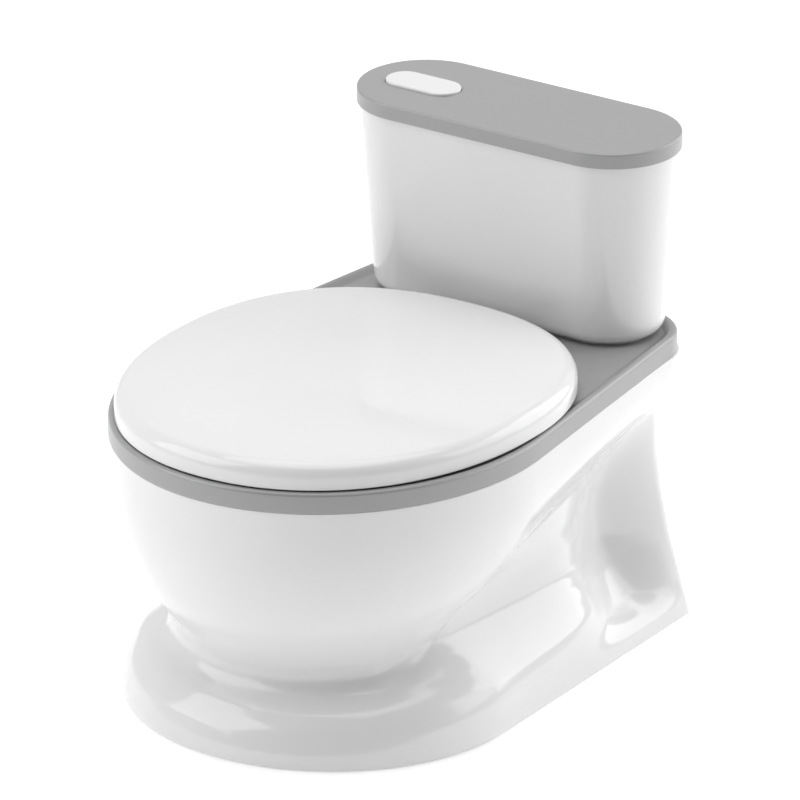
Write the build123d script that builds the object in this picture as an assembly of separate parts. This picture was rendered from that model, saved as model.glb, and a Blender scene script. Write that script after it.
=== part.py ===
"""Potty training chair in the form of a small toilet.

Millimetres, +Z up, front towards -Y. The origin is on the floor, at the middle of the overall box.
"""
from build123d import *
from math import atan2, cos, degrees, pi, sin, sqrt
import os

os.makedirs("parts", exist_ok=True)

# ---------------------------------------------------------------- driving dimensions
WALL = 2.8                 # moulded wall of the base and deck
GAP = 0.4                  # gap between bodies that move apart
SCREW_R = 1.5              # all self-tapping screws
HEAD_R = 2.8
HEAD_H = 2.0
SCREW_PLAY = 0.2           # clearance round a screw in a through hole
RIB = 1.2                  # half thickness of stiffening ribs
BELOW, ABOVE = 170.0, 215.0  # how far cuts through the deck reach

# plan outline: (half-width, front depth, centre y, rear half-width, rear y, rear corner radius)
DECK = (141.2, 155.3, -47.6, 114.0, 196.0, 42.0)
DECK_LOW = 181.4           # lower edge of the grey band
DECK_TOP = 195.0           # crest of the rim
DECK_FLOOR = 192.0         # upper face inside the rim
RIM_WIDTH = 8.0            # rim, measured in from the band
CREST_FILLET = 2.4
LIP_LOW = 177.0            # lip under the deck that drops inside the base
LIP_INSET = 6.4
LIP_WALL = 2.2

# base shell sections: height, then the plan outline at that height
BASE = (
    (0.4, (131.3, 127.4, -60.5, 125.0, 178.0, 12.0)),
    (9.0, (132.0, 128.6, -60.3, 123.0, 177.6, 12.0)),
    (26.0, (128.6, 126.8, -59.0, 118.6, 176.6, 13.0)),
    (42.0, (118.0, 120.0, -57.0, 114.6, 175.6, 14.0)),
    (56.0, (100.5, 108.0, -54.0, 111.0, 174.6, 16.0)),
    (70.0, (108.0, 114.0, -52.0, 108.0, 174.0, 19.0)),
    (90.0, (121.5, 127.5, -50.5, 104.0, 174.0, 23.0)),
    (115.0, (132.0, 141.0, -49.0, 100.5, 176.0, 28.0)),
    (140.0, (137.9, 149.6, -48.0, 100.5, 180.0, 32.0)),
    (160.0, (139.8, 152.8, -47.8, 105.0, 187.0, 36.0)),
    (DECK_LOW, (140.4, 154.4, -47.6, 113.2, 195.0, 41.0)),
)

# seat opening and removable pot
SEAT_Y = -62.0             # centre of the opening
OPENING = (80.0, 98.0)     # half-width and half-length of the opening
FLANGE = (88.0, 106.0)     # pot flange
FLANGE_T = 2.6
REBATE = 3.0               # step in the deck that carries the flange
POT_FLOOR = 74.0
POT_WALL = 2.4
POT_TAPER = 16.0           # how far the pot draws in from flange to floor
GUARD_RISE = 5.0           # low raised lip at the front of the pot
POT_FILLET = 12.0          # rounding between the pot's wall and floor
GUARD_X = 60.0             # half-width of the raised lip
COLLAR_LOW = 180.0         # lower edge of the collar round the opening
SCOOP_R = 13.0             # finger scoops beside the flange
SCOOP_OUT = 3.0            # centre of a scoop outside the flange
SCOOP_RISE = 5.0           # centre of a scoop above the deck floor

# lid and its hinge
LID_W = 137.0
LID_FRONT = 162.5
LID_REAR = 146.0
LID_Y = -37.0
LID_LOW = 196.0
LID_TOP = 213.5
LID_WALL = 2.4
LID_EDGE = 8.0             # rounding of the upper edge
LID_PADS = ((92.0, -133.0), (124.0, -10.0))
PAD_R = 2.6
PAD_TOP = 203.0
PAD_BOSS_R = 4.4
LID_REAR_CUT = 4.0         # the lid's rear wall ends this far below the pins
HINGE_Y = 99.0
HINGE_Z = 203.5
HINGE_X = 36.0             # middle of each hinge
PIN_R = 1.5
PIN_PLAY = 0.06
KNUCKLE_R = 3.2
POST_W = 8.0
EAR_W = 4.5
EAR_GAP = 0.5

# tank: stadium outlines, (half distance between centres, end radius)
TANK_Y = 157.6
TANK_LEAN = 0.9            # the foot is this much further back than the top
TANK_GAP = 1.2             # shadow gap under the tank, round its plinth
PLINTH_INSET = 7.0
TANK_LOW = (68.3, 36.6)
TANK_HIGH = (71.2, 43.3)
TANK_TOP = 319.2
TANK_WALL = 2.6
TANK_FOOT_FILLET = 8.0
TANK_BOSS_R = 4.5
TANK_BOSS_TOP = 201.5
TANK_LID = (71.2, 45.3)
TANK_LID_LOW = 319.6
TANK_LID_TOP = 329.6
TANK_LID_FILLET = 1.4
TANK_LID_WALL = 2.4
LID_PLATE = 2.5
LIP_R = 39.2               # locating lip under the tank lid
LIP_DROP = 8.0

# flush button
BUTTON_X = -72.4
BUTTON_Y = 155.4
BUTTON = (13.9, 13.0)
BUTTON_TOP = 331.4
BUTTON_TRAVEL = 3.0
BUTTON_FLANGE_Z = 322.4
BUTTON_FLANGE_T = 1.6
BUTTON_FLANGE = 1.8        # how far the flange stands out
BUTTON_WALL = 1.8
BUTTON_ROOF = 2.2
SPRING_R = 5.2
SPRING_WIRE = 0.35
SPRING_TURNS = 5

# sound module, under the left end of the tank lid
CASE = (26.0, 31.0)        # stadium half distance and radius
CASE_X = -47.0
CASE_LOW = 296.0
CASE_TOP = 320.0
CASE_WALL = 2.0
CASE_BOSS_R = 3.6
MODULE_SCREWS = ((CASE_X + 52.0, TANK_Y + 9), (CASE_X + 52.0, TANK_Y - 9), (CASE_X - 20, TANK_Y + 26.0))
PCB_X = (-88.0, -30.0)
PCB_HALF = 20.0
PCB_Z = 312.5
PCB_T = 1.6
SWITCH = 3.0               # half-width of the switch body
SWITCH_H = 2.5
PLUNGER_H = 0.9
AAA_R = 5.25
AAA_LENGTH = 44.5
BATTERY_X = -57.0          # middle of the cells
DOOR_X = (BATTERY_X - 27.0, BATTERY_X + 27.0)
DOOR_Y = (TANK_Y - 13.0, TANK_Y + 13.0)
DOOR_SCREW_X = DOOR_X[1] - 3.0
SPEAKER_X = -14.0
SPEAKER_R = 14.0
MAGNET_R = 9.0

FOOT_H = 3.0
FOOT_R = 7.0
FOOT_BOSS = 2.4            # wall of the socket round a pad
FOOT_BOSS_TOP = 11.0
FEET = ((82.0, -142.0), (108.0, 163.0))
DECK_BOSS_LOW = 168.0
DECK_BOSS_R = 5.0
DECK_SCREWS = ((122.0, -70.0), (90.0, -142.0), (105.0, 60.0))
TANK_SCREWS = ((60.0, 158.0), (22.0, 158.0))


# ---------------------------------------------------------------- helpers
def save(name, *solids):
    """Write one node, whose solids stay separate."""
    shape = solids[0] if len(solids) == 1 else Compound(children=list(solids))
    shape.label = name
    export_step(shape, f"parts/{name}.step")


def both_sides(points):
    """Every point and its mirror image in the middle plane."""
    return [(side * x, y) for x, y in points for side in (1, -1)]


def plan(outline, z=0.0, inset=0.0):
    """Face of a toilet plan: elliptical front, straight sides, rounded rear corners."""
    width, depth, centre, rear_width, rear, corner = outline
    width -= inset
    depth -= inset
    rear_width -= inset
    rear -= inset
    corner = max(corner - inset, 3.0)
    # the side leaves the ellipse at the tangent through the rear corner
    reach = (rear - centre) * width / depth
    distance = sqrt(rear_width ** 2 + reach ** 2)
    turn = atan2(reach, rear_width) - atan2(sqrt(distance ** 2 - width ** 2), width)
    left = (-width * cos(turn), centre + depth * sin(turn))
    right = (width * cos(turn), centre + depth * sin(turn))
    front = EllipticalCenterArc(
        (0, centre), width, depth, start_angle=180 - degrees(turn), arc_size=180 + 2 * degrees(turn)
    )
    edges = [
        front,
        Line(right, (rear_width, rear)),
        Line((rear_width, rear), (-rear_width, rear)),
        Line((-rear_width, rear), left),
    ]
    face = make_face(edges)
    corners = face.vertices().sort_by(Axis.Y)[-2:]
    return Pos(0, 0, z) * fillet(corners, corner)


def ellipse_disc(size, low, high, inset=0.0, centre=SEAT_Y):
    """Upright elliptical cylinder around the seat opening."""
    face = Pos(0, centre, low) * Ellipse(size[0] - inset, size[1] - inset)
    return extrude(face, high - low)


def stadium(size, x, y, z, inset=0.0):
    """Stadium face along X."""
    return Pos(x, y, z) * SlotCenterToCenter(2 * size[0], 2 * (size[1] - inset))


def slab(size, x, y, low, high, inset=0.0):
    return extrude(stadium(size, x, y, low, inset), high - low)


def rod(x, y, low, high, radius):
    return Pos(x, y, low) * extrude(Circle(radius), high - low)


def outward(x, length, start=0.0):
    """Span along X from a point towards its own side."""
    side = 1 if x > 0 else -1
    return sorted((x + side * start, x + side * length))


def block(x, y, z):
    """Box between two corners, each axis given as a (low, high) pair."""
    size = [high - low for low, high in (x, y, z)]
    middle = [(low + high) / 2 for low, high in (x, y, z)]
    return Pos(*middle) * Box(*size)


def cross_rod(x_low, x_high, y, z, radius):
    """Cylinder along X."""
    return Pos((x_low + x_high) / 2, y, z) * Rot(0, 90, 0) * Cylinder(radius, x_high - x_low)


def screw(x, y, low, high):
    """Pan-head screw driven upwards, with a cross recess in its head."""
    body = rod(x, y, low, high, SCREW_R) + rod(x, y, low - HEAD_H, low, HEAD_R)
    for angle in (0, 90):
        body -= Pos(x, y, low - HEAD_H) * Rot(0, 0, angle) * Box(3.4, 0.7, 2.0)
    return body


def lid_outline(z, inset=0.0, steps=36):
    """Egg-shaped lid plan: a rounder front and a squarer rear, from one superellipse formula."""
    points = []
    for i in range(steps):
        angle = 2 * pi * i / steps - pi / 2
        c = cos(angle)
        s = sin(angle)
        depth, power = (LID_REAR, 2.3) if s > 0 else (LID_FRONT, 2.1)
        x = (LID_W - inset) * abs(c) ** (2 / power) * (1 if c > 0 else -1)
        y = LID_Y + (depth - inset) * abs(s) ** (2 / power) * (1 if s > 0 else -1)
        points.append((x if abs(c) > 1e-9 else 0.0, y, z))
    return make_face(Spline(*points, periodic=True))


# ---------------------------------------------------------------- base
def base_shell():
    outer = loft([plan(outline, z) for z, outline in BASE])
    inner_sections = [plan(outline, z, WALL) for z, outline in BASE]
    inner = loft(inner_sections)
    inner += extrude(plan(BASE[0][1], 0.0, WALL), BASE[0][0])
    shell = outer - inner
    extras = []
    boss_r = FOOT_R + FOOT_BOSS
    near = boss_r - 0.8
    for x, y in both_sides(FEET):
        low = BASE[0][0]
        extras.append(rod(x, y, low, FOOT_BOSS_TOP, boss_r) - rod(x, y, low, FOOT_H, FOOT_R))
        reach = 34.0 if y > 0 else 24.0
        span = (4.0, FOOT_BOSS_TOP)
        extras.append(block(outward(x, reach, near), (y - RIB, y + RIB), span))
        ahead = 1 if y > 0 else -1
        extras.append(block((x - RIB, x + RIB), sorted((y + ahead * near, y + ahead * reach)), span))
    for x, y in both_sides(DECK_SCREWS):
        bore = rod(x, y, DECK_BOSS_LOW - 8, ABOVE, SCREW_R + SCREW_PLAY)
        extras.append(rod(x, y, DECK_BOSS_LOW, DECK_LOW, DECK_BOSS_R) - bore)
        rib_x = outward(x, 40.0, DECK_BOSS_R - 0.4)
        extras.append(block(rib_x, (y - RIB, y + RIB), (DECK_BOSS_LOW, DECK_LOW)))
    for extra in extras:
        shell += extra & outer
    return shell


def anti_slip_feet():
    return [rod(x, y, 0.0, FOOT_H, FOOT_R) for x, y in both_sides(FEET)]


def seat_deck():
    deck = extrude(plan(DECK, DECK_LOW), DECK_TOP - DECK_LOW)
    crest = deck.faces().sort_by(Axis.Z)[-1].edges()
    deck = fillet(crest, CREST_FILLET)
    deck -= extrude(plan(DECK, DECK_FLOOR, RIM_WIDTH), 10)
    floor_low = DECK_FLOOR - WALL
    deck -= extrude(plan(DECK, DECK_LOW - 1, WALL + 0.4), floor_low - DECK_LOW + 1)
    # collar round the opening carries the pot flange in a rebate
    deck += ellipse_disc(FLANGE, COLLAR_LOW, DECK_FLOOR - 0.01, -3.0)
    deck -= ellipse_disc(OPENING, BELOW, ABOVE)
    deck -= ellipse_disc(FLANGE, DECK_FLOOR - REBATE, ABOVE, -GAP)
    ledge_low = DECK_FLOOR - REBATE - WALL
    deck -= ellipse_disc(FLANGE, BELOW, ledge_low, -GAP) - ellipse_disc(OPENING, BELOW, ABOVE, -WALL)
    for side in (1, -1):
        scoop = Pos(side * (FLANGE[0] + SCOOP_OUT), SEAT_Y, DECK_FLOOR + SCOOP_RISE) * Sphere(SCOOP_R)
        deck -= scoop & block((-130, 130), (-120, 0), (DECK_FLOOR - 2.0, ABOVE))
    # lip that drops inside the base, with the screw bosses
    lip = extrude(plan(DECK, LIP_LOW, LIP_INSET), floor_low - LIP_LOW + 0.5)
    lip -= extrude(plan(DECK, LIP_LOW - 1, LIP_INSET + LIP_WALL), 20)
    for x, y in both_sides(DECK_SCREWS):
        lip -= rod(x, y, BELOW, DECK_LOW + GAP, DECK_BOSS_R + 0.6)
        lip -= block(outward(x, 40.0), (y - RIB - 0.6, y + RIB + 0.6), (BELOW, DECK_LOW + GAP))
    deck += lip
    for x, y in both_sides(DECK_SCREWS):
        deck += rod(x, y, DECK_LOW, floor_low + 0.5, DECK_BOSS_R - 0.6)
        deck -= rod(x, y, BELOW, floor_low - 0.5, SCREW_R)
    for x, y in both_sides(TANK_SCREWS):
        deck -= rod(x, y, BELOW, ABOVE, SCREW_R + SCREW_PLAY)
    # the rim gives way to the tank, which stands flush with the rear
    deck -= slab(TANK_LOW, 0, TANK_Y + TANK_LEAN, DECK_FLOOR, ABOVE, -0.3)
    deck -= block((-TANK_LOW[0], TANK_LOW[0]), (TANK_Y, 210), (DECK_FLOOR, ABOVE))
    for side in (1, -1):
        post = cross_rod(-POST_W / 2, POST_W / 2, HINGE_Y, HINGE_Z, KNUCKLE_R)
        post += block(
            (-POST_W / 2, POST_W / 2),
            (HINGE_Y - KNUCKLE_R, HINGE_Y + KNUCKLE_R),
            (floor_low + 0.5, HINGE_Z),
        )
        post -= cross_rod(-20, 20, HINGE_Y, HINGE_Z, PIN_R)
        deck += Pos(side * HINGE_X, 0, 0) * post
    return deck


def deck_screws():
    return [screw(x, y, DECK_BOSS_LOW, DECK_LOW + 6.5) for x, y in both_sides(DECK_SCREWS)]


def hinge_pin(side):
    reach = POST_W / 2 + EAR_GAP + EAR_W
    return cross_rod(side * HINGE_X - reach, side * HINGE_X + reach, HINGE_Y, HINGE_Z, PIN_R)


def tank_shell():
    foot_z = DECK_FLOOR + TANK_GAP

    def tapered(inset):
        foot = stadium(TANK_LOW, 0, TANK_Y + TANK_LEAN, foot_z, inset)
        top = stadium(TANK_HIGH, 0, TANK_Y, TANK_TOP, inset)
        return loft([foot, top], ruled=True)

    outer = tapered(0.0)
    outer = fillet(outer.faces().sort_by(Axis.Z)[0].edges(), TANK_FOOT_FILLET)
    inner = tapered(TANK_WALL) & block((-200, 200), (0, 300), (foot_z + TANK_WALL, 400))
    inner = fillet(inner.faces().sort_by(Axis.Z)[0].edges(), TANK_FOOT_FILLET - TANK_WALL)
    shell = outer - inner
    shell += slab(TANK_LOW, 0, TANK_Y + TANK_LEAN, DECK_FLOOR, foot_z + 0.5, PLINTH_INSET)
    for x, y in both_sides(TANK_SCREWS):
        shell += rod(x, y, foot_z + 1.0, TANK_BOSS_TOP, TANK_BOSS_R)
        shell -= rod(x, y, BELOW, TANK_BOSS_TOP - 1.5, SCREW_R)
    return shell


def tank_screws():
    return [screw(x, y, DECK_FLOOR - WALL, DECK_FLOOR + 6.0) for x, y in both_sides(TANK_SCREWS)]


# ---------------------------------------------------------------- pot
def potty_bowl():
    top = DECK_FLOOR - REBATE
    rim = (OPENING[0] - 1.2, OPENING[1] - 1.2)
    floor = (rim[0] - POT_TAPER, rim[1] - POT_TAPER)

    def cup(inset, low):
        upper = Pos(0, SEAT_Y, top + FLANGE_T) * Ellipse(rim[0] - inset, rim[1] - inset)
        lower = Pos(0, SEAT_Y, low) * Ellipse(floor[0] - inset, floor[1] - inset)
        solid = loft([lower, upper], ruled=True)
        return fillet(solid.faces().sort_by(Axis.Z)[0].edges(), POT_FILLET - inset)

    pot = cup(0.0, POT_FLOOR) + ellipse_disc(FLANGE, top, top + FLANGE_T)
    # raised lip round the front of the flange
    lip = ellipse_disc(rim, top, top + FLANGE_T + GUARD_RISE, -3.0)
    pot += lip & block((-GUARD_X, GUARD_X), (-200, SEAT_Y - 30), (top, ABOVE))
    pot -= cup(POT_WALL, POT_FLOOR + POT_WALL)
    pot -= ellipse_disc(rim, top + FLANGE_T - 0.2, ABOVE, POT_WALL)
    return pot


# ---------------------------------------------------------------- lid
def lid_body():
    outer = extrude(lid_outline(LID_LOW), LID_TOP - LID_LOW)
    outer = fillet(outer.faces().sort_by(Axis.Z)[-1].edges(), LID_EDGE)
    inner = extrude(lid_outline(LID_LOW - 1, LID_WALL), LID_TOP - LID_WALL - LID_LOW + 1)
    inner = fillet(inner.faces().sort_by(Axis.Z)[-1].edges(), LID_EDGE - LID_WALL)
    lid = outer - inner
    # the rear wall is cut short so that it clears the deck as the lid turns
    lid -= block((-90, 90), (HINGE_Y + 2.0, 130), (190, HINGE_Z - LID_REAR_CUT))
    for x, y in both_sides(LID_PADS):
        lid += rod(x, y, LID_LOW + 0.5, LID_TOP - 1.0, PAD_BOSS_R)
        lid -= rod(x, y, LID_LOW - 1, PAD_TOP, PAD_R)
    for side in (1, -1):
        centre = side * HINGE_X
        for sign in (1, -1):
            near = centre + sign * (POST_W / 2 + EAR_GAP)
            far = near + sign * EAR_W
            x_low, x_high = sorted((near, far))
            ear = cross_rod(x_low, x_high, HINGE_Y, HINGE_Z, KNUCKLE_R)
            ear += block((x_low, x_high), (HINGE_Y - KNUCKLE_R, HINGE_Y + KNUCKLE_R), (HINGE_Z, LID_TOP))
            ear -= cross_rod(x_low - 1, x_high + 1, HINGE_Y, HINGE_Z, PIN_R + PIN_PLAY)
            lid += ear & (outer + block((x_low, x_high), (HINGE_Y - 5, HINGE_Y + 5), (190, HINGE_Z + 1)))
        notch = POST_W / 2 + EAR_GAP
        lid -= block((centre - notch, centre + notch), (HINGE_Y - 4.0, 130), (190, HINGE_Z + KNUCKLE_R + 0.6))
    return lid


def lid_bumpers():
    return [rod(x, y, DECK_FLOOR + 0.35, PAD_TOP, PAD_R) for x, y in both_sides(LID_PADS)]


# ---------------------------------------------------------------- tank lid and its sound unit
def tank_lid():
    lid = slab(TANK_LID, 0, TANK_Y, TANK_LID_LOW, TANK_LID_TOP)
    lid = fillet(lid.faces().sort_by(Axis.Z)[-1].edges(), TANK_LID_FILLET)
    under = TANK_LID_TOP - LID_PLATE
    lid -= slab(TANK_LID, 0, TANK_Y, TANK_LID_LOW - 1, under, TANK_LID_WALL)
    lip = (TANK_LID[0], LIP_R)
    ring = slab(lip, 0, TANK_Y, TANK_LID_LOW - LIP_DROP, under + 0.5)
    ring -= slab(lip, 0, TANK_Y, TANK_LID_LOW - LIP_DROP - 1, under + 1, 2.0)
    lid += ring
    guide_low = BUTTON_FLANGE_Z + BUTTON_FLANGE_T + 2.0
    lid += slab(BUTTON, BUTTON_X, BUTTON_Y, guide_low, under + 0.5, -2.6)
    lid -= slab(BUTTON, BUTTON_X, BUTTON_Y, 310, 340, -0.5)
    for x, y in MODULE_SCREWS:
        lid += rod(x, y, CASE_TOP, under + 0.5, CASE_BOSS_R)
        lid -= rod(x, y, CASE_TOP - 10, under, SCREW_R)
    return lid


def module_case():
    case = slab(CASE, CASE_X, TANK_Y, CASE_LOW, CASE_TOP)
    case = fillet(case.faces().sort_by(Axis.Z)[0].edges(), 1.5)
    case -= slab(CASE, CASE_X, TANK_Y, CASE_LOW + CASE_WALL, CASE_TOP + 1, CASE_WALL)
    for x, y in MODULE_SCREWS:
        boss = rod(x, y, CASE_LOW + 1, CASE_TOP, CASE_BOSS_R)
        case += boss & slab(CASE, CASE_X, TANK_Y, CASE_LOW, CASE_TOP)
        case -= rod(x, y, CASE_LOW - 1, CASE_LOW + 3.0, 3.2)
        case -= rod(x, y, CASE_LOW, CASE_TOP + 1, SCREW_R + SCREW_PLAY)
    case -= block(DOOR_X, DOOR_Y, (CASE_LOW - 1, CASE_LOW + CASE_WALL + 1))
    # sound holes
    for i in range(-2, 3):
        half = 10.0 - 1.5 * abs(i)
        y = TANK_Y + 5.0 * i
        span = (CASE_LOW - 1, CASE_LOW + CASE_WALL + 1)
        case -= block((SPEAKER_X - half, SPEAKER_X + half), (y - 0.8, y + 0.8), span)
    return case


def battery_door():
    x = (DOOR_X[0] + 0.25, DOOR_X[1] - 0.25)
    y = (DOOR_Y[0] + 0.25, DOOR_Y[1] - 0.25)
    door = block(x, y, (CASE_LOW, CASE_LOW + CASE_WALL))
    for i in range(4):
        grip = DOOR_X[0] + 8 + 3.0 * i
        door -= block((grip, grip + 1.2), (TANK_Y - 7, TANK_Y + 7), (CASE_LOW - 1, CASE_LOW + 0.6))
    door -= rod(DOOR_SCREW_X, TANK_Y, CASE_LOW - 1, CASE_LOW + 3, 1.2)
    return door


def battery_door_screw():
    body = rod(DOOR_SCREW_X, TANK_Y, CASE_LOW, CASE_LOW + CASE_WALL, 1.1)
    body += rod(DOOR_SCREW_X, TANK_Y, CASE_LOW - 1.0, CASE_LOW, 2.0)
    body -= Pos(DOOR_SCREW_X, TANK_Y, CASE_LOW - 1.0) * Box(2.6, 0.6, 1.0)
    return body


def batteries():
    cells = []
    for row, end in ((-1, 1), (1, -1)):
        y = TANK_Y + row * (AAA_R + 0.3)
        z = CASE_LOW + CASE_WALL + 0.6 + AAA_R
        cell = cross_rod(BATTERY_X - AAA_LENGTH / 2, BATTERY_X + AAA_LENGTH / 2, y, z, AAA_R)
        tip = BATTERY_X + end * AAA_LENGTH / 2
        x_low, x_high = sorted((tip, tip + end * 0.8))
        cells.append(cell + cross_rod(x_low, x_high, y, z, 1.9))
    return cells


def battery_contacts():
    plates = []
    z = CASE_LOW + CASE_WALL + 0.6 + AAA_R
    for side in (1, -1):
        for row in (-1, 1):
            x = BATTERY_X + side * (AAA_LENGTH / 2 + 1.2)
            y = TANK_Y + row * (AAA_R + 0.3)
            plates.append(block((x - 0.2, x + 0.2), (y - 4, y + 4), (z - 4, z + 5.5)))
    return plates


def circuit_board():
    board = block(PCB_X, (TANK_Y - PCB_HALF, TANK_Y + PCB_HALF), (PCB_Z, PCB_Z + PCB_T))
    return fillet(board.edges().filter_by(Axis.Z), 3.0)


def tact_switch():
    low = PCB_Z + PCB_T
    x = (BUTTON_X - SWITCH, BUTTON_X + SWITCH)
    y = (BUTTON_Y - SWITCH, BUTTON_Y + SWITCH)
    body = block(x, y, (low, low + SWITCH_H))
    return body + rod(BUTTON_X, BUTTON_Y, low + SWITCH_H, low + SWITCH_H + PLUNGER_H, 1.6)


def speaker():
    low = CASE_LOW + CASE_WALL
    frame = rod(SPEAKER_X, TANK_Y, low, low + 2.5, SPEAKER_R)
    return frame + rod(SPEAKER_X, TANK_Y, low + 2.5, low + 5.5, MAGNET_R)


def module_screws():
    return [screw(x, y, CASE_LOW + 3.0, CASE_TOP + 4.0) for x, y in MODULE_SCREWS]


# ---------------------------------------------------------------- flush button
def flush_button():
    button = slab(BUTTON, BUTTON_X, BUTTON_Y, BUTTON_FLANGE_Z, BUTTON_TOP)
    button = fillet(button.faces().sort_by(Axis.Z)[-1].edges(), 1.2)
    flange_top = BUTTON_FLANGE_Z + BUTTON_FLANGE_T
    button += slab(BUTTON, BUTTON_X, BUTTON_Y, BUTTON_FLANGE_Z, flange_top, -BUTTON_FLANGE)
    roof_low = BUTTON_TOP - BUTTON_ROOF
    button -= slab(BUTTON, BUTTON_X, BUTTON_Y, BUTTON_FLANGE_Z - 1, roof_low, BUTTON_WALL)
    # the stem meets the switch at the end of its travel
    stem_low = PCB_Z + PCB_T + SWITCH_H + PLUNGER_H + GAP + BUTTON_TRAVEL
    return button + rod(BUTTON_X, BUTTON_Y, stem_low, roof_low + 0.2, 2.2)


def button_spring():
    low = PCB_Z + PCB_T + 0.05
    high = BUTTON_TOP - BUTTON_ROOF - 0.05
    height = high - low - 2 * SPRING_WIRE
    path = Pos(BUTTON_X, BUTTON_Y, low + SPRING_WIRE) * Helix(height / SPRING_TURNS, height, SPRING_R)
    start = Plane(origin=path @ 0, z_dir=path % 0)
    return sweep(start * Circle(SPRING_WIRE), path=path)


# ---------------------------------------------------------------- write every node
NODES = {
    "base_shell": base_shell,
    "anti_slip_feet": anti_slip_feet,
    "seat_deck": seat_deck,
    "deck_screws": deck_screws,
    "tank_shell": tank_shell,
    "tank_screws": tank_screws,
    "potty_bowl": potty_bowl,
    "lid": lid_body,
    "lid_bumpers": lid_bumpers,
    "tank_lid": tank_lid,
    "module_case": module_case,
    "module_screws": module_screws,
    "circuit_board": circuit_board,
    "tact_switch": tact_switch,
    "speaker": speaker,
    "batteries": batteries,
    "battery_contacts": battery_contacts,
    "battery_door": battery_door,
    "battery_door_screw": battery_door_screw,
    "flush_button": flush_button,
    "button_spring": button_spring,
}

for name, make in NODES.items():
    made = make()
    save(name, *(made if isinstance(made, list) else [made]))
for name, side in (("hinge_pin_left", -1), ("hinge_pin_right", 1)):
    save(name, hinge_pin(side))
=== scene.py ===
"""Potty training chair shaped as a small toilet: the looks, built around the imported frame."""
from math import atan2, cos, pi, radians, sin, sqrt, tan

import bmesh
import bpy
import numpy as np
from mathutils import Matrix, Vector


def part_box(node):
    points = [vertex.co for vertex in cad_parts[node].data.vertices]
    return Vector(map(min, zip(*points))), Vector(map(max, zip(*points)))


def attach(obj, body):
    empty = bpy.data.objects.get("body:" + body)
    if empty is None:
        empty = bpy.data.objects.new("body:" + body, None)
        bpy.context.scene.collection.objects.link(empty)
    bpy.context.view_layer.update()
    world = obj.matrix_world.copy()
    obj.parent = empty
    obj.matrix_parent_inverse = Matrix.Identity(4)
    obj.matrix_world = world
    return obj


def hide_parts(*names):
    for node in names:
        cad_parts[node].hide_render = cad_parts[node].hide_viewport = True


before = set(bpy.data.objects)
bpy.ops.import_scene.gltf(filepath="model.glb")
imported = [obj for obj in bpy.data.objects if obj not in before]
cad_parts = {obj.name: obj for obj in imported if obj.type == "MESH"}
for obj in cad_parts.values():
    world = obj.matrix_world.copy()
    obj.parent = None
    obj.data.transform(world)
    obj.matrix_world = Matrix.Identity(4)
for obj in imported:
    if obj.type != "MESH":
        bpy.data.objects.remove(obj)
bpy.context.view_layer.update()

MM = 0.001


def box_mm(node):
    """Lowest and highest corner of a CAD node, in millimetres."""
    low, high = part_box(node)
    return low / MM, high / MM


# ---------------------------------------------------------------- sizes, in millimetres
deck_low, deck_high = box_mm("seat_deck")
lid_low, lid_high = box_mm("lid")
base_low, base_high = box_mm("base_shell")
pin_low, pin_high = box_mm("hinge_pin_right")

WALL = 2.8
BAND_LOW = base_high.z                 # where the grey band starts
CREST = BAND_LOW + 13.6                # top of the raised rim
FLOOR = CREST - 3.0                    # deck surface inside the rim
FRONT_DEPTH = 155.3                    # reach of the elliptical front from its centre
PLAN_Y = deck_low.y + FRONT_DEPTH
DECK_REAR = 112.0                      # half-width of the deck at the rear
CORNER_R = 42.0                        # rear corners of the deck
BAND_STEP = 0.6                        # the bowl's top lies this far inside the band
SEAT_Y = -62.0                         # middle of the seat opening
OPENING = (80.0, 98.0)                 # half-width and half-length of the opening
FLANGE = (88.4, 106.4)                 # the same for the rebate that the pot's flange lies in
HINGE_X = (pin_low.x + pin_high.x) / 2
HINGE_Y = (pin_low.y + pin_high.y) / 2
HINGE_Z = (pin_low.z + pin_high.z) / 2
POST_W = 8.0
KNUCKLE_R = 3.2
EAR_W, EAR_GAP = 4.5, 0.5              # lid ears, either side of each post
EAR_TOP = 4.6                          # how far above the pin an ear goes into the lid
NOTCH_GAP = 2.4                        # room beside each post in the lid's rear edge
LID_WALL = 2.4
SCREW_R = 1.7                          # bore of a screw boss
PAD_R, PAD_POST_R = 2.6, 4.4           # bore and outside of a bumper post

FRONT_N, SIDE_N, CORNER_N, REAR_N = 240, 150, 40, 60   # points along each stretch of a plan


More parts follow.
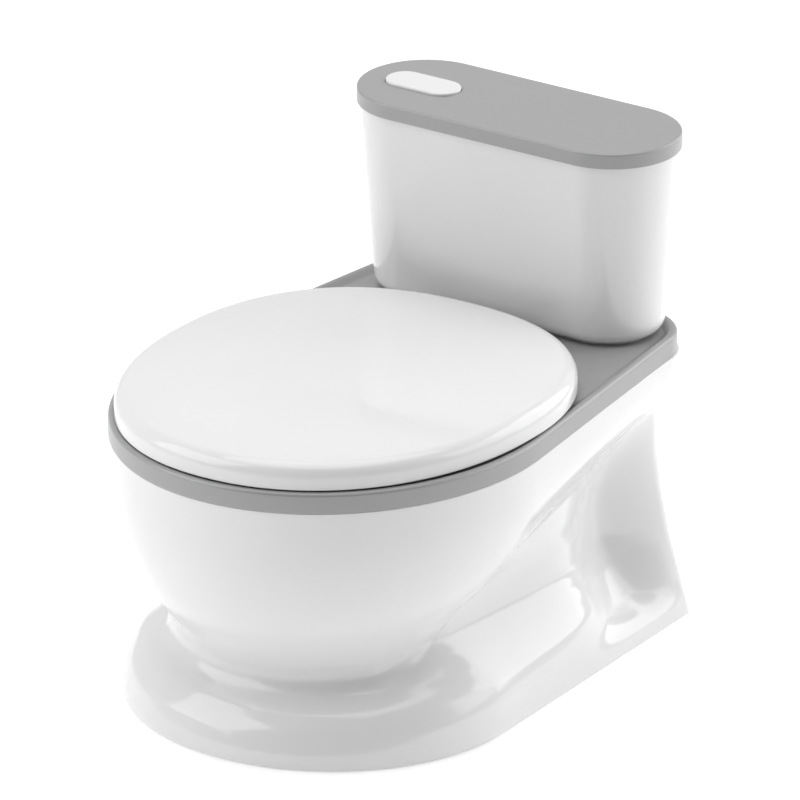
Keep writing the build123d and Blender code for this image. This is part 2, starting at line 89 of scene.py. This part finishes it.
# ---------------------------------------------------------------- outlines and curves
def plan(width, depth, centre, rear_width, rear, corner):
    """Closed toilet plan as points: front ellipse, right side, corner, rear, corner, left side."""
    reach = (rear - centre) * width / depth
    distance = sqrt(rear_width ** 2 + reach ** 2)
    turn = atan2(reach, rear_width) - atan2(sqrt(distance ** 2 - width ** 2), width)
    start = np.array([width * cos(turn), centre + depth * sin(turn)])
    lean = atan2(start[0] - rear_width, rear - start[1])
    cut = corner * tan((pi / 2 - lean) / 2)
    middle = np.array([rear_width + cut * sin(lean) - corner * cos(lean), rear - corner])
    arc = np.linspace(lean, pi / 2, CORNER_N, endpoint=False)
    right_corner = middle + corner * np.stack([np.cos(arc), np.sin(arc)], 1)
    sweep = np.linspace(-pi - turn, turn, FRONT_N, endpoint=False)
    front = np.stack([width * np.cos(sweep), centre + depth * np.sin(sweep)], 1)
    along = np.linspace(0, 1, SIDE_N, endpoint=False)[:, None]
    right = start + (right_corner[0] - start) * along
    rear_x = np.linspace(middle[0], -middle[0], REAR_N, endpoint=False)
    back = np.stack([rear_x, np.full(REAR_N, rear)], 1)
    arc = np.linspace(pi / 2, lean, CORNER_N, endpoint=False)
    mirror = np.array([-1.0, 1.0])
    left_corner = (middle + corner * np.stack([np.cos(arc), np.sin(arc)], 1)) * mirror
    left = (right_corner[0] + (start - right_corner[0]) * along) * mirror
    return np.concatenate([front, right, right_corner, back, left_corner, left])


def normals(loop):
    """Outward unit normals of a closed loop that runs anticlockwise."""
    step = np.roll(loop, -1, 0) - np.roll(loop, 1, 0)
    out = np.stack([step[:, 1], -step[:, 0]], 1)
    return out / np.linalg.norm(out, axis=1)[:, None]


def inset(loop, distance):
    return loop - normals(loop) * distance


def inset_by(loop, distances):
    """Inset by a different distance at each point."""
    return loop - normals(loop) * np.broadcast_to(distances, len(loop))[:, None]


def smooth_step(value, low, high):
    t = np.clip((value - low) / (high - low), 0, 1)
    return t * t * (3 - 2 * t)


def curve(x, points):
    """Smooth monotone curve through (x, y) pairs, evaluated at x."""
    xs, ys = np.array(points, float).T
    steps = np.diff(ys) / np.diff(xs)
    slopes = np.zeros(len(xs))
    slopes[0], slopes[-1] = steps[0], steps[-1]
    same = steps[:-1] * steps[1:] > 0
    total = np.where(same, steps[:-1] + steps[1:], 1)
    slopes[1:-1] = np.where(same, 2 * steps[:-1] * steps[1:] / total, 0)
    x = np.clip(x, xs[0], xs[-1])
    i = np.clip(np.searchsorted(xs, x) - 1, 0, len(xs) - 2)
    h = xs[i + 1] - xs[i]
    t = (x - xs[i]) / h
    return (
        (2 * t ** 3 - 3 * t ** 2 + 1) * ys[i] + (t ** 3 - 2 * t ** 2 + t) * h * slopes[i]
        + (3 * t ** 2 - 2 * t ** 3) * ys[i + 1] + (t ** 3 - t ** 2) * h * slopes[i + 1]
    )


def ring(loop, z):
    """Points of a loop at one height, or at a height for each point."""
    return np.column_stack([loop, np.broadcast_to(z, len(loop))])


# ---------------------------------------------------------------- meshes
def add_mesh(name, verts, faces, finish, body):
    """A smooth-shaded piece that rides on a body."""
    mesh = bpy.data.meshes.new(name)
    mesh.from_pydata([tuple(v) for v in np.asarray(verts) * MM], [], faces)
    mesh.validate()
    work = bmesh.new()
    work.from_mesh(mesh)
    bmesh.ops.recalc_face_normals(work, faces=work.faces)
    work.to_mesh(mesh)
    work.free()
    for polygon in mesh.polygons:
        polygon.use_smooth = True
    piece = bpy.data.objects.new(name, mesh)
    bpy.context.scene.collection.objects.link(piece)
    mesh.materials.append(finish)
    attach(piece, body)
    return piece


def skin(rings, closed=False, cap_first=False, cap_last=False):
    """Quads between stacked rings of the same length. closed joins the last ring to the first."""
    count = len(rings[0])
    verts = np.concatenate(rings)
    faces = []
    levels = len(rings)
    for level in range(levels if closed else levels - 1):
        a = level * count
        b = ((level + 1) % levels) * count
        for i in range(count):
            j = (i + 1) % count
            faces.append((a + i, a + j, b + j, b + i))
    if cap_first:
        faces.append(tuple(range(count)))
    if cap_last:
        faces.append(tuple(range((levels - 1) * count, levels * count)))
    return verts, faces


def join(*parts):
    """One list of points and faces from several."""
    verts, faces, offset = [], [], 0
    for points, quads in parts:
        verts.append(np.asarray(points, float))
        faces += [tuple(i + offset for i in quad) for quad in quads]
        offset += len(points)
    return np.concatenate(verts), faces


def tube(x, y, low, high, outer, inner, count=32):
    """Upright tube, such as a screw boss or the socket round a pad."""
    turn = np.linspace(0, 2 * pi, count, endpoint=False)
    circle = np.stack([np.cos(turn), np.sin(turn)], 1)
    sections = ((outer, low), (outer, high), (inner, high), (inner, low))
    return skin([ring(circle * radius + (x, y), z) for radius, z in sections], closed=True)


def plate(x_span, y_span, low, high):
    """Upright block between two corners."""
    (x0, x1), (y0, y1) = sorted(x_span), sorted(y_span)
    loop = np.array([(x0, y0), (x1, y0), (x1, y1), (x0, y1)])
    return skin([ring(loop, low), ring(loop, high)], cap_first=True, cap_last=True)


def sharpen(piece, angle):
    """Edges sharper than an angle stay crisp under smooth shading."""
    piece.data.set_sharp_from_angle(angle=radians(angle))


# ---------------------------------------------------------------- materials
def material(name, colour, roughness, spread, grain, bump, coat=0.0, tint=0.015, specular=0.5, metal=0.0):
    """Slight colour drift, uneven roughness and a fine surface grain."""
    made = bpy.data.materials.new(name)
    made.use_nodes = True
    nodes, links = made.node_tree.nodes, made.node_tree.links
    shader = nodes["Principled BSDF"]
    shader.inputs["Coat Weight"].default_value = coat
    shader.inputs["Coat Roughness"].default_value = 0.03
    shader.inputs["Specular IOR Level"].default_value = specular
    shader.inputs["Metallic"].default_value = metal
    where = nodes.new("ShaderNodeTexCoord")

    def noise(scale, detail):
        node = nodes.new("ShaderNodeTexNoise")
        node.inputs["Scale"].default_value = scale
        node.inputs["Detail"].default_value = detail
        links.new(where.outputs["Object"], node.inputs["Vector"])
        return node

    def spread_to(source, low, high):
        node = nodes.new("ShaderNodeMapRange")
        node.inputs["From Min"].default_value = 0.3
        node.inputs["From Max"].default_value = 0.7
        node.inputs["To Min"].default_value = low
        node.inputs["To Max"].default_value = high
        links.new(source.outputs["Fac"], node.inputs["Value"])
        return node

    cloud = noise(9.0, 3.0)
    ramp = nodes.new("ShaderNodeValToRGB")
    ramp.color_ramp.elements[0].position = 0.3
    ramp.color_ramp.elements[1].position = 0.7
    ramp.color_ramp.elements[0].color = (*[c * (1 - tint) for c in colour], 1)
    ramp.color_ramp.elements[1].color = (*[min(c * (1 + tint), 1) for c in colour], 1)
    links.new(cloud.outputs["Fac"], ramp.inputs["Fac"])
    links.new(ramp.outputs["Color"], shader.inputs["Base Color"])
    uneven = spread_to(noise(38.0, 4.0), roughness - spread, roughness + spread)
    links.new(uneven.outputs["Result"], shader.inputs["Roughness"])
    texture = noise(grain, 2.0)
    height = nodes.new("ShaderNodeBump")
    height.inputs["Strength"].default_value = bump
    height.inputs["Distance"].default_value = 0.0002
    links.new(texture.outputs["Fac"], height.inputs["Height"])
    links.new(height.outputs["Normal"], shader.inputs["Normal"])
    return made


gloss_white = material("gloss_white", (0.82, 0.82, 0.82), 0.10, 0.02, 260.0, 0.02, coat=0.3)
satin_grey = material("satin_grey", (0.335, 0.335, 0.34), 0.30, 0.02, 2400.0, 0.03, tint=0.008, specular=1.0)
pot_white = material("pot_white", (0.86, 0.86, 0.86), 0.22, 0.04, 300.0, 0.05)
inner_white = material("inner_white", (0.78, 0.78, 0.78), 0.42, 0.05, 1500.0, 0.15)
pad_rubber = material("pad_rubber", (0.10, 0.10, 0.105), 0.75, 0.06, 2200.0, 0.30)
zinc_steel = material("zinc_steel", (0.58, 0.59, 0.61), 0.32, 0.08, 1800.0, 0.15, tint=0.06, metal=1.0)
spring_steel = material("spring_steel", (0.66, 0.63, 0.57), 0.26, 0.08, 2600.0, 0.12, tint=0.05, metal=1.0)
solder_mask = material("solder_mask", (0.02, 0.12, 0.05), 0.30, 0.06, 900.0, 0.20, coat=0.4, tint=0.15)
black_moulding = material("black_moulding", (0.02, 0.02, 0.022), 0.48, 0.08, 2000.0, 0.25, tint=0.12)
cell_jacket = material("cell_jacket", (0.08, 0.14, 0.30), 0.28, 0.05, 700.0, 0.06, coat=0.3, tint=0.06)


# ---------------------------------------------------------------- base shell
# pedestal sections: height against each part of its plan
STEM_WIDTH = (
    (0, 131.3), (9, 132.8), (22, 132), (34, 127.5), (44, 117), (54, 104), (64, 95), (78, 95),
    (100, 104), (130, 115), (182, 120),
)
STEM_DEPTH = (
    (0, 127.4), (9, 128.8), (20, 127), (32, 118), (42, 104), (52, 93), (64, 87), (80, 90),
    (100, 100), (182, 112),
)
STEM_CENTRE = ((0, -60.5), (60, -52), (182, -48))
STEM_REAR_WIDTH = (
    (0, 124.5), (13, 121.5), (30, 118), (50, 114.5), (69, 111.5), (90, 107.5), (117, 103.5),
    (140, 102), (160, 105), (182, 111),
)
STEM_REAR = ((0, 178), (30, 176.5), (60, 174.5), (110, 175), (140, 178.5), (160, 184), (182, 192))
STEM_CORNER = ((0, 9), (60, 11), (120, 16), (160, 30), (182, 38))
# groove up each side near the rear: share of its depth against height, and how far it spreads
VALLEY_HEIGHT = (
    (0, 0), (9, 0), (24, 0.75), (42, 1), (90, 0.92), (115, 0.65), (140, 0.15), (158, 0), (182, 0),
)
VALLEY_Y, VALLEY_DEPTH = 124.0, 26.0
VALLEY_AHEAD, VALLEY_BEHIND = 44.0, 27.0
# pads let into the foot: middle, then how far the ribs beside each socket reach
FEET = (((82.0, -142.0), (99.5, -158.0)), ((108.0, 163.0), (121.5, 175.2)))
FOOT_R, SOCKET_R, SOCKET_TOP = 7.0, 9.4, 11.0
RIB, RIB_LOW = 1.2, 4.0                # half thickness and lower edge of a rib
BOSS_R, BOSS_DEPTH = 5.0, 13.4         # bosses that the deck's screws go into
DECK_SCREWS = ((122.0, -70.0), (90.0, -142.0), (105.0, 60.0))


def base_rings(levels):
    """Outer surface of the base: an egg-shaped bowl merged into a waisted pedestal with a flared foot."""
    outline = plan(
        deck_high.x - BAND_STEP, FRONT_DEPTH - BAND_STEP, PLAN_Y,
        DECK_REAR - 0.5, deck_high.y - BAND_STEP, CORNER_R - 0.5,
    )
    outward = normals(outline)
    y = outline[:, 1]
    back = (y - y.min()) / (y.max() - y.min())
    # bowl: an elliptical fall-away, deep at the front and shallow at the rear
    front_share = np.clip(1.25 * (1 - back) ** 1.5, 0, 1)
    depth = 45 + 101 * front_share
    amount = 60 + 80 * front_share
    start = 178 - 13 * front_share
    rings = []
    for z in levels:
        fall = np.clip((start - z) / depth, 0, 0.98)
        bowl = outline - outward * (amount * (1 - np.sqrt(1 - fall ** 2)))[:, None]
        stem = plan(
            curve(z, STEM_WIDTH), curve(z, STEM_DEPTH), curve(z, STEM_CENTRE),
            curve(z, STEM_REAR_WIDTH), curve(z, STEM_REAR), curve(z, STEM_CORNER),
        )
        spread = np.where(stem[:, 1] < VALLEY_Y, VALLEY_AHEAD, VALLEY_BEHIND)
        valley = VALLEY_DEPTH * curve(z, VALLEY_HEIGHT) * np.exp(-((stem[:, 1] - VALLEY_Y) / spread) ** 2)
        side = smooth_step(np.abs(stem[:, 0]), 55, 85)
        stem[:, 0] -= np.sign(stem[:, 0]) * valley * side
        # the further out of bowl and stem, rounded together where they cross
        ahead = ((stem - bowl) * outward).sum(1)
        blend = 14 + 22 * smooth_step(-y, -40, 70) * smooth_step(-z, -172, -95)
        stem_share = np.clip(0.5 + 0.5 * ahead / blend, 0, 1)
        mixed = bowl * (1 - stem_share)[:, None] + stem * stem_share[:, None]
        mixed += outward * (blend * stem_share * (1 - stem_share))[:, None]
        rings.append(ring(mixed, z))
    return rings


def make_base():
    low = base_low.z
    wall = np.linspace(low + 2.4, BAND_LOW - 1.0, 240)
    levels = np.concatenate([[low, low + 0.4, low + 1.2], wall, [BAND_LOW - 0.5, BAND_LOW]])
    outer = base_rings(levels)
    outer[0][:, :2] = inset(outer[0][:, :2], 1.0)
    outer[1][:, :2] = inset(outer[1][:, :2], 0.3)
    outer[-1][:, :2] = inset(outer[-1][:, :2], 0.6)
    inner = [ring(inset(r[:, :2], WALL), r[0, 2]) for r in outer[::-4]]
    parts = [skin(outer + inner, closed=True)]
    near = SOCKET_R - 0.5
    for side in (1, -1):
        for (x, y), (wall_x, wall_y) in FEET:
            parts.append(tube(side * x, y, low, SOCKET_TOP, SOCKET_R, FOOT_R))
            across = (side * (x + near), side * wall_x)
            parts.append(plate(across, (y - RIB, y + RIB), RIB_LOW, SOCKET_TOP))
            along = (y + near * np.sign(y), wall_y)
            parts.append(plate((side * x - RIB, side * x + RIB), along, RIB_LOW, SOCKET_TOP))
        for x, y in DECK_SCREWS:
            parts.append(tube(side * x, y, BAND_LOW - BOSS_DEPTH, BAND_LOW, BOSS_R, SCREW_R))
    verts, faces = join(*parts)
    piece = add_mesh("base_surface", verts, faces, gloss_white, "base")
    sharpen(piece, 50)
    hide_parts("base_shell")


make_base()


# ---------------------------------------------------------------- seat deck
def make_deck():
    edge = plan(deck_high.x, FRONT_DEPTH, PLAN_Y, DECK_REAR, deck_high.y, CORNER_R)
    # the rim doesn't rise behind the tank
    tank_back = smooth_step(edge[:, 1], 170, 190) * smooth_step(-np.abs(edge[:, 0]), -82, -66)
    rise = (CREST - FLOOR) * (1 - tank_back)
    # band, rounded crest, then the slope from the rim down to the floor
    rings = [ring(inset(edge, 0.35), BAND_LOW), ring(inset(edge, 0.0), BAND_LOW + 0.4)]
    rounding = 2.6
    for i in range(9):
        angle = pi / 2 * i / 8
        height = FLOOR + rise - rounding * (1 - sin(angle))
        rings.append(ring(inset(edge, rounding * (1 - cos(angle))), height))
    for i in range(13):
        t = i / 12
        share = 1 - (t * t * (3 - 2 * t))
        rings.append(ring(inset(edge, 3.4 + 6.6 * t), FLOOR + rise * share))
    # across the flat to the pot's rebate
    angles = np.arctan2((edge[:, 1] - SEAT_Y) / FLANGE[1], edge[:, 0] / FLANGE[0])

    def oval(size, grow=0.0):
        return np.stack([(size[0] + grow) * np.cos(angles), SEAT_Y + (size[1] + grow) * np.sin(angles)], 1)

    start = inset(edge, 11.0)
    for t in (0.0, 0.25, 0.5, 0.75):
        rings.append(ring(start * (1 - t) + oval(FLANGE, 2.2) * t, FLOOR))
    # rounded edge and wall of the rebate, then the collar round the opening
    for grow, drop in ((2.2, 0.0), (1.2, 0.15), (0.4, 0.6), (0.0, 1.2), (0.0, 3.0)):
        rings.append(ring(oval(FLANGE, grow), FLOOR - drop))
    for grow, drop in ((0.6, 3.0), (0.0, 3.4), (0.0, 12.0), (-WALL + 5.6, 12.0), (WALL, 5.8)):
        rings.append(ring(oval(OPENING, grow), FLOOR - drop))
    # back under the deck to the inside of the band
    rings.append(ring(inset(edge, WALL + 0.4), FLOOR - WALL))
    rings.append(ring(inset(edge, WALL + 0.4), BAND_LOW))
    verts, faces = join(skin(rings, closed=True), hinge_post(HINGE_X), hinge_post(-HINGE_X))
    piece = add_mesh("deck_surface", verts, faces, satin_grey, "base")
    sharpen(piece, 40)
    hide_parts("seat_deck")


def upright(profile, x, width):
    """A (y, z) profile given a width along X."""
    return skin(
        [np.array([(x + dx, y, z) for y, z in profile]) for dx in (-width / 2, width / 2)],
        cap_first=True, cap_last=True,
    )


def hinge_post(x):
    """Upright plate with a round top that holds the hinge pin."""
    foot = FLOOR - 0.5
    turn = np.linspace(0, pi, 17)
    top = [(HINGE_Y + KNUCKLE_R * cos(a), HINGE_Z + KNUCKLE_R * sin(a)) for a in turn]
    profile = [(HINGE_Y + KNUCKLE_R + 1.5, foot), (HINGE_Y + KNUCKLE_R, foot + 2)] + top
    profile += [(HINGE_Y - KNUCKLE_R, foot + 2), (HINGE_Y - KNUCKLE_R - 1.5, foot)]
    return upright(profile, x, POST_W)


make_deck()


# ---------------------------------------------------------------- lid
LID_PADS = ((92.0, -133.0), (124.0, -10.0))


def lid_outline(count=720):
    """Egg-shaped outline: a rounder front and a squarer rear."""
    centre = lid_low.y + 162.5
    angle = np.linspace(-pi / 2, 1.5 * pi, count, endpoint=False)
    c, s = np.cos(angle), np.sin(angle)
    depth = np.where(s > 0, lid_high.y - centre, centre - lid_low.y)
    power = np.where(s > 0, 2.3, 2.1)
    x = lid_high.x * np.sign(c) * np.abs(c) ** (2 / power)
    y = centre + depth * np.sign(s) * np.abs(s) ** (2 / power)
    return np.stack([x, y], 1)


def make_lid():
    outline = lid_outline()
    x, y = outline.T
    count = len(outline)
    rear = smooth_step(y, HINGE_Y + 1.0, HINGE_Y + 3.0)
    lower = lid_low.z + (HINGE_Z - 4.0 - lid_low.z) * rear
    notch = (np.abs(np.abs(x) - HINGE_X) < POST_W / 2 + NOTCH_GAP) & (y > HINGE_Y - 8)
    lower = np.where(notch, HINGE_Z + KNUCKLE_R + 0.8, lower)
    shoulder, crown = 202.5, lid_high.z + 0.8
    swell = 1.6                            # how far the middle stands above the end of the rounded edge
    reach, height = 10.0, crown - swell - shoulder   # of the rounded edge, across and up
    centre = np.array([0.0, lid_low.y + 150.0])

    def profile_inset(z, wall=0.0):
        """How far the rounded edge has drawn in at a height."""
        share = np.clip((z - shoulder) / (height - wall), 0, 1)
        return wall + (reach - wall) * (1 - np.sqrt(1 - share ** 2)) ** 1.05

    def edge_ring(z, wall=0.0, tuck=0.0):
        return ring(inset_by(outline, profile_inset(z, wall) + tuck), z)

    outer = [edge_ring(lower, tuck=0.6), edge_ring(lower + 0.2, tuck=0.2), edge_ring(lower + 0.7)]
    for z in np.linspace(lid_low.z + 1.4, shoulder, 4):
        outer.append(edge_ring(np.maximum(z, lower + 0.8)))
    for i in range(1, 19):
        z = shoulder + height * sin(pi / 2 * i / 18)
        outer.append(edge_ring(np.maximum(z, np.minimum(lower + 0.8 + 0.05 * i, shoulder + height))))
    rim = outer[-1][:, :2]
    steps = (0.03, 0.07, 0.12, 0.19, 0.27, 0.36, 0.45, 0.55, 0.65, 0.75, 0.85, 0.93, 0.98)

    def dome(t, drop=0.0):
        return ring(rim * (1 - t) + centre * t, shoulder + height - drop + swell * (1 - (1 - t) ** 2.0))

    outer += [dome(t) for t in steps]
    inner = [dome(t, LID_WALL) for t in steps[::-3]]
    ceiling = shoulder + height - LID_WALL
    for i in range(8, -1, -1):
        z = shoulder + (height - LID_WALL) * sin(pi / 2 * i / 8)
        inner.append(edge_ring(np.maximum(z, np.minimum(lower + 0.5, ceiling)), LID_WALL))
    inner.append(edge_ring(lower, LID_WALL))
    verts, faces = skin(outer + inner, closed=True)
    pole = len(outer) - 1
    # the shell closes with a flat cap inside and out, not with a wall between them
    faces = [f for k, f in enumerate(faces) if not pole * count <= k < (pole + 1) * count]
    for cap in (pole, pole + 1):
        faces.append(tuple(range(cap * count, (cap + 1) * count)))
    parts = [(verts, faces)]
    for side in (1, -1):
        for sign in (1, -1):
            parts.append(lid_ear(side * HINGE_X + sign * (POST_W / 2 + EAR_GAP + EAR_W / 2)))
        for pad_x, pad_y in LID_PADS:
            parts.append(tube(side * pad_x, pad_y, lid_low.z + 0.5, crown - LID_WALL, PAD_POST_R, PAD_R))
    verts, faces = join(*parts)
    piece = add_mesh("lid_surface", verts, faces, gloss_white, "lid")
    sharpen(piece, 50)
    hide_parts("lid")


def lid_ear(x):
    """Plate under the lid that turns on the hinge pin."""
    turn = np.linspace(pi, 2 * pi, 17)
    bottom = [(HINGE_Y + KNUCKLE_R * cos(a), HINGE_Z + KNUCKLE_R * sin(a)) for a in turn]
    top = HINGE_Z + EAR_TOP
    profile = [(HINGE_Y - KNUCKLE_R - 3.5, top)] + bottom + [(HINGE_Y + KNUCKLE_R, top - 0.8)]
    return upright(profile, x, EAR_W)


make_lid()


# ---------------------------------------------------------------- carried-over CAD pieces
finishes = {
    "tank_shell": gloss_white, "flush_button": gloss_white, "tank_lid": satin_grey,
    "potty_bowl": pot_white, "module_case": inner_white, "battery_door": inner_white,
    "anti_slip_feet": pad_rubber, "lid_bumpers": pad_rubber,
    "deck_screws": zinc_steel, "tank_screws": zinc_steel, "module_screws": zinc_steel,
    "battery_door_screw": zinc_steel, "hinge_pin_left": zinc_steel, "hinge_pin_right": zinc_steel,
    "button_spring": spring_steel, "battery_contacts": spring_steel, "circuit_board": solder_mask,
    "tact_switch": black_moulding, "speaker": black_moulding, "batteries": cell_jacket,
}
for node, finish in finishes.items():
    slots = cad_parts[node].data.materials
    if len(slots):
        for i in range(len(slots)):
            slots[i] = finish
    else:
        slots.append(finish)


# ---------------------------------------------------------------- camera, floor and light
AZIMUTH, ELEVATION = radians(34.16), radians(22.49)
DISTANCE = 8.0
back = Vector((sin(AZIMUTH) * cos(ELEVATION), -cos(AZIMUTH) * cos(ELEVATION), sin(ELEVATION)))
right = Vector((cos(AZIMUTH), sin(AZIMUTH), 0))
up = back.cross(right)
aim = Vector((0, 0.028, 0.175)) - right * 0.0035 - up * 0.00448

camera = bpy.data.objects.new("camera", bpy.data.cameras.new("camera"))
camera.data.lens = 563.9
camera.data.sensor_width = 36.0
camera.data.clip_start = 0.1
camera.data.clip_end = 100.0
camera.location = aim + back * DISTANCE
camera.rotation_mode = "QUATERNION"
camera.rotation_quaternion = back.to_track_quat("Z", "Y")
bpy.context.scene.collection.objects.link(camera)
bpy.context.scene.camera = camera

floor_mesh = bpy.data.meshes.new("floor")
floor_mesh.from_pydata([(-6, -6, 0), (6, -6, 0), (6, 6, 0), (-6, 6, 0)], [], [(0, 1, 2, 3)])
floor = bpy.data.objects.new("floor", floor_mesh)
bpy.context.scene.collection.objects.link(floor)
floor_finish = bpy.data.materials.new("pale_floor")
floor_finish.use_nodes = True
floor_shader = floor_finish.node_tree.nodes["Principled BSDF"]
floor_shader.inputs["Base Color"].default_value = (0.95, 0.95, 0.95, 1)
floor_shader.inputs["Roughness"].default_value = 0.9
floor_shader.inputs["Emission Color"].default_value = (1, 1, 1, 1)
floor_shader.inputs["Emission Strength"].default_value = 0.25
floor_mesh.materials.append(floor_finish)


def soft_light(name, position, size, power):
    """Square softbox that faces the middle of the object."""
    lamp = bpy.data.lights.new(name, "AREA")
    lamp.shape = "SQUARE"
    lamp.size = size
    lamp.energy = power
    holder = bpy.data.objects.new(name, lamp)
    holder.location = position
    holder.rotation_mode = "QUATERNION"
    holder.rotation_quaternion = (position - centre).to_track_quat("Z", "Y")
    bpy.context.scene.collection.objects.link(holder)


centre = Vector((0, 0, 0.15))
soft_light("key_left", centre - right * 1.5 + back * 0.4 + Vector((0, 0, 0.8)), size=1.4, power=11)
soft_light("top", centre + Vector((0, 0, 1.9)), size=1.8, power=14)
soft_light("fill_right", centre + right * 1.4 - back * 0.8 + Vector((0, 0, 1.0)), size=1.2, power=9)
soft_light("rim_right", centre + right * 1.6 + back * 0.25 + Vector((0, 0, 0.6)), size=0.9, power=3.5)

# the studio is bright all round except in front, on the camera's side
world = bpy.data.worlds.new("studio")
bpy.context.scene.world = world
world.use_nodes = True
sky = world.node_tree
direction = sky.nodes.new("ShaderNodeTexCoord")
facing = sky.nodes.new("ShaderNodeVectorMath")
facing.operation = "DOT_PRODUCT"
facing.inputs[1].default_value = (sin(AZIMUTH) * 0.98, -cos(AZIMUTH) * 0.98, -0.2)
shade = sky.nodes.new("ShaderNodeMapRange")
shade.interpolation_type = "SMOOTHSTEP"
shade.inputs["From Min"].default_value = 0.0
shade.inputs["From Max"].default_value = 0.62
shade.inputs["To Min"].default_value = 0.66
shade.inputs["To Max"].default_value = 0.03
sky.links.new(direction.outputs["Generated"], facing.inputs[0])
sky.links.new(facing.outputs["Value"], shade.inputs["Value"])
sky.links.new(shade.outputs["Result"], sky.nodes["Background"].inputs["Strength"])
sky.nodes["Background"].inputs["Color"].default_value = (1, 1, 1, 1)
bpy.context.scene.view_settings.view_transform = "Standard"
